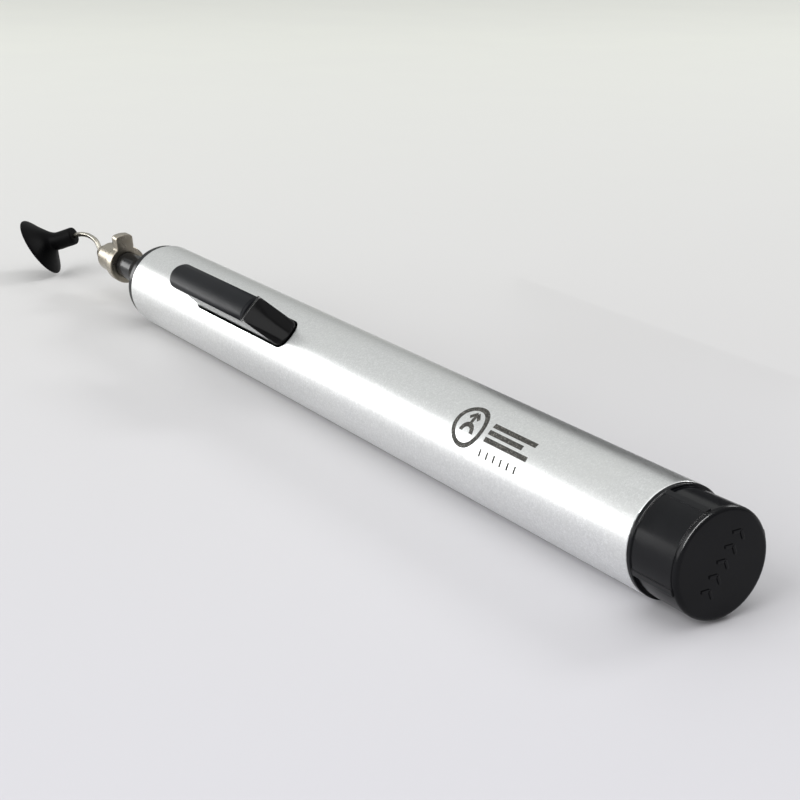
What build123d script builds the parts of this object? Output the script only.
from build123d import *
import os

# Hand-held vacuum pick-up pen, lying on a bench.
# Row frame: origin at the centre of the rear cap's end face, +X along the pen
# towards the needle, +Z up. The pen lies rolled, so that its lever points up
# and towards +Y. All but the needle and the suction cup is drawn in the pen
# frame (x along the pen, z towards the lever) and rolled by save().
# Profiles of turned pieces are (x, radius) points.

os.makedirs("parts", exist_ok=True)

# ---------------------------------------------------------------- dimensions
ROLL = -46.0            # roll of the pen about X, degrees

BARREL_R = 7.0
BARREL_BORE_R = 6.2
BARREL_X0, BARREL_X1 = 7.9, 142.6
CAP_PLUG_X1 = 20.0      # front end of the rear cap's plug

PIVOT_X, PIVOT_Z = 91.5, 2.4
PIN_R = 0.60
CARRIER_X0, CARRIER_X1 = 78.0, 131.0

LEVER_HALF_W = 2.2
LEVER_TIP_X = 121.6     # tip of the lever's finger plate
PLATE_Z0, PLATE_Z1 = 10.30, 10.95
PAD_X0, PAD_Z1 = 95.15, 11.90
FOOT_Z1 = 4.6           # top of the presser foot, against the lever's flange
PAD_PEGS_X, PAD_PEG_R = (99.0, 112.0), 0.7
FOOT_PEGS_X, FOOT_PEG_R = (104.0, 112.0), 0.8

BLADDER_R, BLADDER_BORE_R = 3.8, 3.0
BLADDER_X0, BLADDER_X1 = 97.5, 127.4

TAPER_X0, TAPER_X1 = 159.4, 167.2       # taper of the nozzle inside the hub
TAPER_R0, TAPER_R1 = 2.15, 2.00
NEEDLE_R, NEEDLE_BORE_R = 0.45, 0.28

# O-rings: centre x, groove width, centre-line radius, section radius
CAP_SEAL = (14.2, 0.84, 5.785, 0.40)
PLUG_SEAL = (137.45, 0.90, 5.81, 0.385)
TIP_SEAL = (163.65, 0.90, 1.80, 0.315)
SEAL_CLEARANCE = 0.005  # between an O-ring and its groove's floor


# ------------------------------------------------------------------- helpers
def turned(*profile):
    """A solid of revolution about the X axis from (x, radius) points."""
    wire = Polyline(*[(x, r, 0) for x, r in profile], close=True)
    return revolve(make_face(wire), Axis.X, 360)


def tube(x0, x1, outer_r, inner_r):
    return turned((x0, inner_r), (x1, inner_r), (x1, outer_r), (x0, outer_r))


def rod(x0, x1, radius):
    return turned((x0, 0), (x1, 0), (x1, radius), (x0, radius))


def block(x0, x1, y0, y1, z0, z1):
    centre = Pos((x0 + x1) / 2, (y0 + y1) / 2, (z0 + z1) / 2)
    return centre * Box(x1 - x0, y1 - y0, z1 - z0)


def across(x, z, radius, half_length):
    """A round bar along Y, centred on the pen's middle plane."""
    return Pos(x, 0, z) * Rot(X=90) * Cylinder(radius, 2 * half_length)


def upright(sketch, z0, z1):
    """A sketch in x and y, extruded from z0 to z1."""
    return extrude(Pos(0, 0, z0) * sketch, z1 - z0)


def pegs(stations, radius, length, z):
    """Upright cylinders centred at height z."""
    return [Pos(x, 0, z) * Cylinder(radius, length) for x in stations]


def rings(shape, x, radius, tol=0.03):
    """The circular edges about the X axis at x with this radius."""
    return [e for e in shape.edges().filter_by(GeomType.CIRCLE)
            if abs(e.radius - radius) < tol and abs(e.arc_center.X - x) < tol
            and abs(e.arc_center.Y) < tol and abs(e.arc_center.Z) < tol]


def seal_groove(seal, outer_r):
    """The ring-shaped cut that holds an O-ring."""
    x, width, ring_r, section_r = seal
    floor_r = ring_r - section_r - SEAL_CLEARANCE
    return tube(x - width / 2, x + width / 2, outer_r, floor_r)


def o_ring(seal):
    x, _, ring_r, section_r = seal
    return Pos(x, 0, 0) * Rot(Y=90) * Torus(ring_r, section_r)


def save(name, shape, rolled=True):
    if rolled:
        shape = Rot(X=ROLL) * shape
    shape.label = name
    export_step(shape, "parts/" + name + ".step")


# -------------------------------------------------------------------- barrel
NOSE_FILLET, REAR_FILLET = 0.782, 0.15
SLOT_XA, SLOT_XB = 90.35, 116.0         # centres of the lever slot's end radii
SLOT_HALF_W = 2.45

barrel = tube(BARREL_X0, BARREL_X1, BARREL_R, BARREL_BORE_R)
barrel = fillet(rings(barrel, BARREL_X1, BARREL_R), NOSE_FILLET)
barrel = fillet(rings(barrel, BARREL_X0, BARREL_R), REAR_FILLET)
slot = (Pos((SLOT_XA + SLOT_XB) / 2, 0) * Rectangle(SLOT_XB - SLOT_XA, 2 * SLOT_HALF_W)
        + Pos(SLOT_XA, 0) * Circle(SLOT_HALF_W) + Pos(SLOT_XB, 0) * Circle(SLOT_HALF_W))
barrel -= upright(slot, 3.0, 9.0)
save("barrel", barrel)

# ------------------------------------------------------------------ rear cap
CAP_R = 6.58            # body beside the flange
CAP_END_R = 6.71        # body beside the end face
CAP_X1 = BARREL_X0 - 0.05               # front face of the flange
CAP_FLANGE_X0 = CAP_X1 - 0.55
CAP_FLANGE_R = 6.98
CAP_PLUG_R = 6.10
RIB_W, RIB_R = 0.95, 6.90
PANEL_R = 6.80          # the two raised panels between ribs
ROOT_R = 6.2            # ribs and panels start inside the body
RIB_ANGLE = -28.2       # first rib, degrees from the lever's direction

cap = turned((0, 0), (0, CAP_END_R), (CAP_FLANGE_X0, CAP_R),
             (CAP_FLANGE_X0, CAP_FLANGE_R), (CAP_X1, CAP_FLANGE_R),
             (CAP_X1, CAP_PLUG_R), (CAP_PLUG_X1 - 0.5, CAP_PLUG_R),
             (CAP_PLUG_X1, CAP_PLUG_R - 0.4), (CAP_PLUG_X1, 4.7), (2.0, 4.6), (2.0, 0))
cap = fillet(rings(cap, 0, CAP_END_R), 0.60)
cap = fillet(rings(cap, CAP_FLANGE_X0, CAP_FLANGE_R), 0.15)
quadrant = Plane.YZ * make_face(Polyline((0, 0), (12, 12), (-12, 12), close=True))
wedge = extrude(quadrant, 30)
for angle in (RIB_ANGLE + 45, RIB_ANGLE + 225):
    cap += Rot(X=-angle) * (tube(0.66, CAP_FLANGE_X0 + 0.1, PANEL_R, ROOT_R) & wedge)
for i in range(4):
    rib = block(0.62, CAP_FLANGE_X0 + 0.2, -RIB_W / 2, RIB_W / 2, ROOT_R, RIB_R)
    rib = fillet(rib.edges().filter_by(Axis.X).group_by(Axis.Z)[-1], 0.12)
    cap += Rot(X=-(RIB_ANGLE + 90 * i)) * rib
cap -= seal_groove(CAP_SEAL, 6.6)
save("rear_cap", cap)
save("cap_o_ring", o_ring(CAP_SEAL))

# ----------------------------------------------- spacer, lever carrier, pin
save("spacer_tube", tube(CAP_PLUG_X1 + 13.0, CARRIER_X0 - 0.02, 6.12, 5.35))

TROUGH_R = 3.9
OPEN_X0, OPEN_X1 = 86.0, 119.6          # ends of the carrier's open top

carrier = rod(CARRIER_X0, CARRIER_X1, 6.10)
carrier -= rod(CARRIER_X0 + 2.4, CARRIER_X1 + 1, TROUGH_R)              # trough floor
carrier -= block(OPEN_X0, OPEN_X1, -TROUGH_R, TROUGH_R, 0, 8)           # trough sides
carrier -= block(OPEN_X0, OPEN_X1, -8, 8, 3.6, 8)                       # open top
carrier -= rod(97.0, 101.2, 4.55)                       # room for the rear clamp
carrier -= rod(OPEN_X1, CARRIER_X1 + 1, 5.0)            # room for the front clamp and nut
carrier -= rod(CARRIER_X0 - 1, CARRIER_X0 + 3, 1.6)     # air hole
carrier -= across(PIVOT_X, PIVOT_Z, PIN_R, 8)
save("lever_carrier", carrier)

pin = across(PIVOT_X, PIVOT_Z, PIN_R, 5.45)
pin = chamfer(pin.edges().filter_by(GeomType.CIRCLE), 0.12)
save("pivot_pin", pin)

# --------------------------------------------------------------------- lever
STEM_X0 = 90.4          # centre of the stem's rear radius
STEM_X1 = 115.2         # front face of the stem
STEM_Z0 = 5.0
SHOULDER_Z = 7.35       # top of the short upright wall at the stem's rear end
RIDGE_X = 93.9 + 0.25   # rear edge of the stem's top
REAR_HALF_W = LEVER_HALF_W - 0.01       # rounded rear, just inside the stem's sides
BOSS_HALF_W = LEVER_HALF_W - 0.03
FLANGE_Z1 = 5.1
PIN_CLEARANCE = 0.05


def rear_section(x, depth, z):
    """Half an ellipse behind x, closed 0.5 mm in front of x, at height z."""
    w = REAR_HALF_W
    arc = EllipticalCenterArc(center=(x, 0, z), x_radius=depth, y_radius=w,
                              start_angle=90, arc_size=180)
    return make_face(arc + Polyline((x, -w, z), (x + 0.5, -w, z), (x + 0.5, w, z), (x, w, z)))


# plan of the finger plate and its pad: a strip with a round front end
tip_centre_x = LEVER_TIP_X - LEVER_HALF_W
finger_plan = (Pos((PAD_X0 + tip_centre_x) / 2, 0)
               * Rectangle(tip_centre_x - PAD_X0, 2 * LEVER_HALF_W)
               + Pos(tip_centre_x, 0) * Circle(LEVER_HALF_W))

stem_outline = Polyline(        # (x, z) points
    (STEM_X0, STEM_Z0), (STEM_X1, STEM_Z0), (STEM_X1, PLATE_Z1),
    (PAD_X0 - 0.25, PLATE_Z1), (PAD_X0 - 0.35, PAD_Z1 - 0.40),
    (PAD_X0 - 0.60, PAD_Z1 - 0.08), (RIDGE_X, PAD_Z1 - 0.02),
    (STEM_X0, SHOULDER_Z), close=True)
stem = extrude(Plane.XZ * make_face(stem_outline), LEVER_HALF_W, both=True)
stem += upright(Pos(STEM_X0, 0) * Circle(REAR_HALF_W), STEM_Z0 + 0.02, SHOULDER_Z)
stem += loft([rear_section(STEM_X0 - 0.08, LEVER_HALF_W - 0.1, SHOULDER_Z - 0.1),
              rear_section(RIDGE_X, 0.25, PAD_Z1 - 0.16)])
plate = upright(finger_plan, PLATE_Z0, PLATE_Z1)
boss = across(PIVOT_X, PIVOT_Z, 1.85, BOSS_HALF_W)
boss += block(PIVOT_X - 1.84, PIVOT_X + 1.84, -BOSS_HALF_W, BOSS_HALF_W, PIVOT_Z, 5.6)
flange = block(101.4, 115.8, -3.1, 3.1, FOOT_Z1, FLANGE_Z1)
lever = stem + plate + boss + flange
for hole in pegs(PAD_PEGS_X, PAD_PEG_R, 1.02, PLATE_Z1 - 0.5):
    lever -= hole
for hole in pegs(FOOT_PEGS_X, FOOT_PEG_R, 1.1, FLANGE_Z1):
    lever -= hole
lever -= across(PIVOT_X, PIVOT_Z, PIN_R + PIN_CLEARANCE, 4)
save("press_lever", lever)

pad = upright(finger_plan, PLATE_Z1, PAD_Z1)
pad = fillet(pad.faces().sort_by(Axis.Z)[-1].edges(), 0.78)
for peg in pegs(PAD_PEGS_X, PAD_PEG_R, 1.0, PLATE_Z1 - 0.4):
    pad += peg
save("finger_pad", pad)

foot = block(101.8, 115.0, -2.6, 2.6, 3.85, FOOT_Z1)
foot = fillet(foot.faces().sort_by(Axis.Z)[0].edges(), 0.35)
for peg in pegs(FOOT_PEGS_X, FOOT_PEG_R, 1.1, FOOT_Z1 + 0.35):
    foot += peg
save("presser_foot", foot)

# ------------------------------------------------------------- return spring
# A coil round the pin on the lever's +Y side; one leg points up, the other
# to the rear.
SPRING_Y0 = 2.60
SPRING_R, SPRING_PITCH, SPRING_TURNS = 1.12, 0.42, 2.25
WIRE_R = 0.17
LEG_LENGTH = 2.6


def wire_section(origin, direction):
    return Plane(origin=origin, z_dir=direction) * Circle(WIRE_R)


helix = Helix(pitch=SPRING_PITCH, height=SPRING_PITCH * SPRING_TURNS, radius=SPRING_R)
coil = Pos(PIVOT_X, SPRING_Y0, PIVOT_Z) * Rot(X=-90) * helix
spring = sweep(wire_section(coil @ 0, coil % 0), path=coil, is_frenet=True)
spring += extrude(wire_section(coil @ 0, (coil % 0) * -1), LEG_LENGTH)
spring += extrude(wire_section(coil @ 1, coil % 1), LEG_LENGTH)
save("return_spring", spring)

# ------------------------------------------------------------------- bladder
save("bladder", tube(BLADDER_X0, BLADDER_X1, BLADDER_R, BLADDER_BORE_R))

stopper = turned((BLADDER_X0 - 0.8, 0), (BLADDER_X0 - 0.8, 3.6), (BLADDER_X0, 3.6),
                 (BLADDER_X0, BLADDER_BORE_R), (BLADDER_X0 + 3.4, BLADDER_BORE_R),
                 (BLADDER_X0 + 3.9, BLADDER_BORE_R - 0.4), (BLADDER_X0 + 3.9, 0))
save("bladder_stopper", stopper)
save("rear_clamp_ring", tube(98.6, 100.2, 4.04, BLADDER_R))
save("front_clamp_ring", tube(123.4, 125.4, 4.5, BLADDER_R))

# -------------------------------------------------------- nose of the barrel
NOZZLE_R = 2.5          # shank through the plug, washer and nut
NOZZLE_BORE_R = 0.8
PLUG_R, PLUG_BORE_R = 6.15, 2.55
PLUG_HEAD_X0, PLUG_HEAD_R = BARREL_X1 + 0.02, 6.66
NUT_X0, NUT_L = 128.9, 2.43

plug = turned((132.0, PLUG_BORE_R), (132.0, 6.0), (132.3, PLUG_R), (PLUG_HEAD_X0, PLUG_R),
              (PLUG_HEAD_X0, PLUG_HEAD_R), (143.9, PLUG_HEAD_R), (144.3, 6.3),
              (144.3, PLUG_BORE_R))
plug -= seal_groove(PLUG_SEAL, 7.0)
save("front_plug", plug)
save("front_o_ring", o_ring(PLUG_SEAL))

save("nozzle_washer", tube(131.35, 131.98, 4.7, 2.56))
nut = Plane(origin=(NUT_X0, 0, 0), z_dir=(1, 0, 0)) * RegularPolygon(4.75, 6)
nut = extrude(nut, NUT_L)
nut -= rod(128, 133, NOZZLE_R)
save("nozzle_nut", nut)

nozzle = turned(
    (121.6, NOZZLE_BORE_R), (121.6, 2.55),
    (122.6, BLADDER_BORE_R), (127.2, BLADDER_BORE_R),           # inside the bladder
    (127.2, NOZZLE_R), (144.32, NOZZLE_R),
    (144.32, 4.9), (144.7, 5.1), (147.5, 4.4), (151.5, 2.95),   # cone before the plug
    (153.5, 2.5), (158.8, 2.4), (159.1, 2.36), (TAPER_X0, 2.3),
    (TAPER_X0, TAPER_R0), (TAPER_X1 - 0.2, TAPER_R1),
    (TAPER_X1, TAPER_R1 - 0.2), (TAPER_X1, NOZZLE_BORE_R))
nozzle -= seal_groove(TIP_SEAL, 3.0)
save("nozzle", nozzle)
save("tip_seal", o_ring(TIP_SEAL))

# ---------------------------------------------------------------- needle hub
HUB_X0, HUB_X1 = TAPER_X0 + 0.2, 171.0
COLLAR_X1, COLLAR_R = 161.5, 3.4
HUB_CLEARANCE = 0.05
LUG_R = 5.6
LUG_ANGLE = 131.0       # the lug's direction, from the pen frame's Y


def hub_bore_r(x):
    slope = (TAPER_R1 - TAPER_R0) / (TAPER_X1 - TAPER_X0)
    return TAPER_R0 + slope * (x - TAPER_X0) + HUB_CLEARANCE


hub = turned(
    (HUB_X0, hub_bore_r(HUB_X0)), (HUB_X0, COLLAR_R), (COLLAR_X1, COLLAR_R),
    (162.0, 2.8), (167.3, 2.6), (167.7, 2.45), (169.6, 1.5), (170.8, 1.35), (HUB_X1, 1.15),
    (HUB_X1, NEEDLE_R), (168.2, NEEDLE_R), (168.2, 0.9), (167.6, 1.2),
    (167.5, hub_bore_r(167.5)))
lug = block(HUB_X0, COLLAR_X1, 0, LUG_R, -1.6, 1.6) & rod(HUB_X0, COLLAR_X1, LUG_R)
lug = fillet(lug.edges().filter_by(Axis.X), 0.7)
lug -= rod(HUB_X0 - 1, 170, COLLAR_R - 0.2)
hub += Rot(X=LUG_ANGLE) * lug
save("needle_hub", hub)

# ------------------------------------------- needle and suction cup, row frame
CUP_MOUTH = Vector(187.6, 6.25, -1.6)
STEM_DIR = Vector(0.688, 0.635, -0.353).normalized()    # axis of the cup's stem
DISC_DIR = Vector(0.462, 0.689, -0.559).normalized()    # axis of the tilted disc
CUP_LENGTH = 8.0        # from the top of the stem to the mouth
CUP_R, CUP_STEM_R = 6.0, 1.72
CUP_BORE_R = NEEDLE_R + 0.03
DISC_DEPTH = 3.3
NEEDLE_X0, BEND_X0 = 168.4, 171.2

cup_top = CUP_MOUTH - STEM_DIR * CUP_LENGTH
needle_tip = cup_top + STEM_DIR * 4.5
bend = Spline((BEND_X0, 0, 0), (173.6, 0.0, 1.25), (176.4, 0.0, 1.85), (179.4, 0.05, 1.75),
              cup_top, tangents=[(1, 0, 0), STEM_DIR])
path = Line((NEEDLE_X0, 0, 0), (BEND_X0, 0, 0)) + bend + Line(cup_top, needle_tip)
start = Plane(origin=(NEEDLE_X0, 0, 0), z_dir=(1, 0, 0))
needle = (sweep(start * Circle(NEEDLE_R), path=path)
          - sweep(start * Circle(NEEDLE_BORE_R), path=path))
save("needle_tube", needle, rolled=False)


def spun(origin, direction, profile):
    """A solid of revolution from (radius, distance along direction) points."""
    face = Plane.XZ * make_face(Polyline(*profile, close=True))
    return Plane(origin=origin, z_dir=direction) * revolve(face, Axis.Z, 360)


stem_end = CUP_LENGTH - DISC_DEPTH + 0.9        # reaches into the disc
cup_stem = spun(cup_top, STEM_DIR, [
    (0, 0), (CUP_STEM_R - 0.15, 0), (CUP_STEM_R, 0.15), (CUP_STEM_R, stem_end), (0, stem_end)])
disc = spun(CUP_MOUTH, DISC_DIR, [
    (0, -DISC_DEPTH), (1.8, -3.25), (2.5, -2.55), (3.6, -1.75), (4.8, -1.05), (5.6, -0.55),
    (CUP_R, -0.25), (CUP_R, 0),                                         # rim
    (5.35, 0), (4.6, -0.42), (2.7, -1.15), (1.4, -1.6), (0, -1.7)])     # hollow
cup_bore = spun(cup_top, STEM_DIR, [(0, -1), (CUP_BORE_R, -1), (CUP_BORE_R, 9), (0, 9)])
save("suction_cup", cup_stem + disc - cup_bore, rolled=False)
